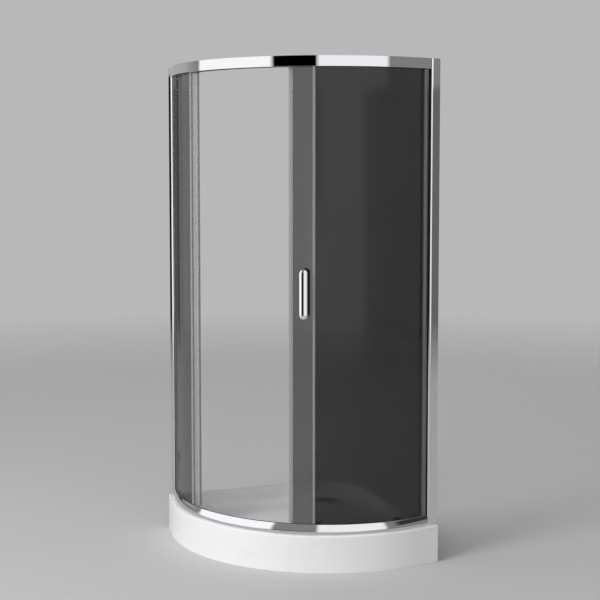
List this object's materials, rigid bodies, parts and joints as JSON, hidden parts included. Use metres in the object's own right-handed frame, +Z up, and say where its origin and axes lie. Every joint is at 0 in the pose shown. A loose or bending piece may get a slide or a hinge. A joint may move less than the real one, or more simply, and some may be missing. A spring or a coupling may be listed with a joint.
{
  "type": "shower enclosure",
  "caption": "Quarter round corner shower enclosure: a curved sliding glass door between two fixed curved panes, in bright rails on a white tray with a curved apron.",
  "frame": {"origin": "on the floor under the centre of the tray's bounding square", "axes": "+Z up; the room corner is at +X +Y, the walls are the planes x = y = +0.4609 m; the curved front and its door face -X -Y"},
  "size_m": [0.9217, 0.9217, 2.05],
  "materials": {
    "acrylic": "gloss white acrylic",
    "board": "raw board sealed in resin",
    "zinc": "zinc plated",
    "stainless": "satin stainless",
    "bright_aluminium": "bright polished and anodised, looks like chrome",
    "bright_chrome": "mirror chrome",
    "tinted_glass": "grey tinted tempered glass",
    "clear_vinyl": "clear soft vinyl, slightly hazy",
    "magnet_strip": "black rubber bonded magnet",
    "black_rubber": "matt black",
    "black_plastic": "satin black",
    "grey_plastic": "satin grey",
    "white_plastic": "satin white",
    "wheel_plastic": "off white acetal"
  },
  "bodies": {
    "enclosure": {"tray_shell": "acrylic", "support_board": "board", "foot_plates": "zinc", "foot_rods": "zinc", "foot_nuts": "zinc", "foot_pads": "black_plastic", "waste_body": "white_plastic", "waste_gasket": "black_rubber", "waste_flange": "bright_chrome", "dip_tube": "white_plastic", "bottom_rail": "bright_aluminium", "top_rail": "bright_aluminium", "left_wall_profile": "bright_aluminium", "right_wall_profile": "bright_aluminium", "left_side_profile": "bright_aluminium", "right_side_profile": "bright_aluminium", "profile_screws": "stainless", "profile_screw_caps": "white_plastic", "rail_end_screws": "stainless", "left_fixed_glass": "tinted_glass", "right_fixed_glass": "tinted_glass", "left_glass_seal": "black_rubber", "right_glass_seal": "black_rubber", "top_gaskets": "black_rubber", "bottom_gaskets": "black_rubber", "setting_blocks": "grey_plastic", "slot_fillers": "grey_plastic", "strike_seal": "clear_vinyl", "strike_magnet": "magnet_strip", "fixed_edge_seal": "clear_vinyl", "door_stops": "black_rubber"},
    "door": {"door_glass": "tinted_glass", "lead_seal": "clear_vinyl", "lead_magnet": "magnet_strip", "trail_seal": "clear_vinyl", "drip_seal": "clear_vinyl", "roller_hangers": "stainless", "hanger_bolts": "stainless", "wheel_axles": "stainless", "guide_bodies": "grey_plastic", "guide_caps": "black_plastic", "guide_axles": "stainless", "handle_outer": "bright_chrome", "handle_inner": "bright_chrome", "handle_studs": "stainless", "handle_washers": "clear_vinyl"},
    "cover": {"waste_cover": "bright_chrome"},
    "upper_wheel_1": {"upper_wheel_1": "wheel_plastic"},
    "upper_wheel_2": {"upper_wheel_2": "wheel_plastic"},
    "upper_wheel_3": {"upper_wheel_3": "wheel_plastic"},
    "upper_wheel_4": {"upper_wheel_4": "wheel_plastic"},
    "lower_wheel_1": {"lower_wheel_1": "wheel_plastic"},
    "lower_wheel_2": {"lower_wheel_2": "wheel_plastic"}
  },
  "joints": [
    {"name": "door_slide", "type": "hinge", "parent": "enclosure", "child": "door", "pos_m": [0.22915, 0.22915, 0], "axis": [0, 0, -1], "range_deg": [0, 40.51]},
    {"name": "cover_lift", "type": "slide", "parent": "enclosure", "child": "cover", "axis": [0, 0, 1], "range_m": [0, 0.04]},
    {"name": "upper_wheel_1_spin", "type": "hinge", "parent": "door", "child": "upper_wheel_1", "pos_m": [-0.05199, -0.34636, 2.0243], "axis": [-0.4389, -0.8985, 0], "continuous": true},
    {"name": "upper_wheel_2_spin", "type": "hinge", "parent": "door", "child": "upper_wheel_2", "pos_m": [-0.01921, -0.36124, 2.0243], "axis": [-0.3878, -0.9218, 0], "continuous": true},
    {"name": "upper_wheel_3_spin", "type": "hinge", "parent": "door", "child": "upper_wheel_3", "pos_m": [0.26227, -0.4105, 2.0243], "axis": [0.0517, -0.9987, 0], "continuous": true},
    {"name": "upper_wheel_4_spin", "type": "hinge", "parent": "door", "child": "upper_wheel_4", "pos_m": [0.29815, -0.40763, 2.0243], "axis": [0.1077, -0.9942, 0], "continuous": true},
    {"name": "lower_wheel_1_spin", "type": "hinge", "parent": "door", "child": "lower_wheel_1", "pos_m": [-0.03571, -0.35403, 0.1663], "axis": [-0.4135, -0.9105, 0], "continuous": true},
    {"name": "lower_wheel_2_spin", "type": "hinge", "parent": "door", "child": "lower_wheel_2", "pos_m": [0.28023, -0.40931, 0.1663], "axis": [0.0798, -0.9968, 0], "continuous": true}
  ],
  "couplings": [
    {"joint": "upper_wheel_1_spin", "follows": "door_slide", "ratio": 71.167},
    {"joint": "upper_wheel_2_spin", "follows": "door_slide", "ratio": 71.167},
    {"joint": "upper_wheel_3_spin", "follows": "door_slide", "ratio": 71.167},
    {"joint": "upper_wheel_4_spin", "follows": "door_slide", "ratio": 71.167},
    {"joint": "lower_wheel_1_spin", "follows": "door_slide", "ratio": 91.5},
    {"joint": "lower_wheel_2_spin", "follows": "door_slide", "ratio": 91.5}
  ]
}
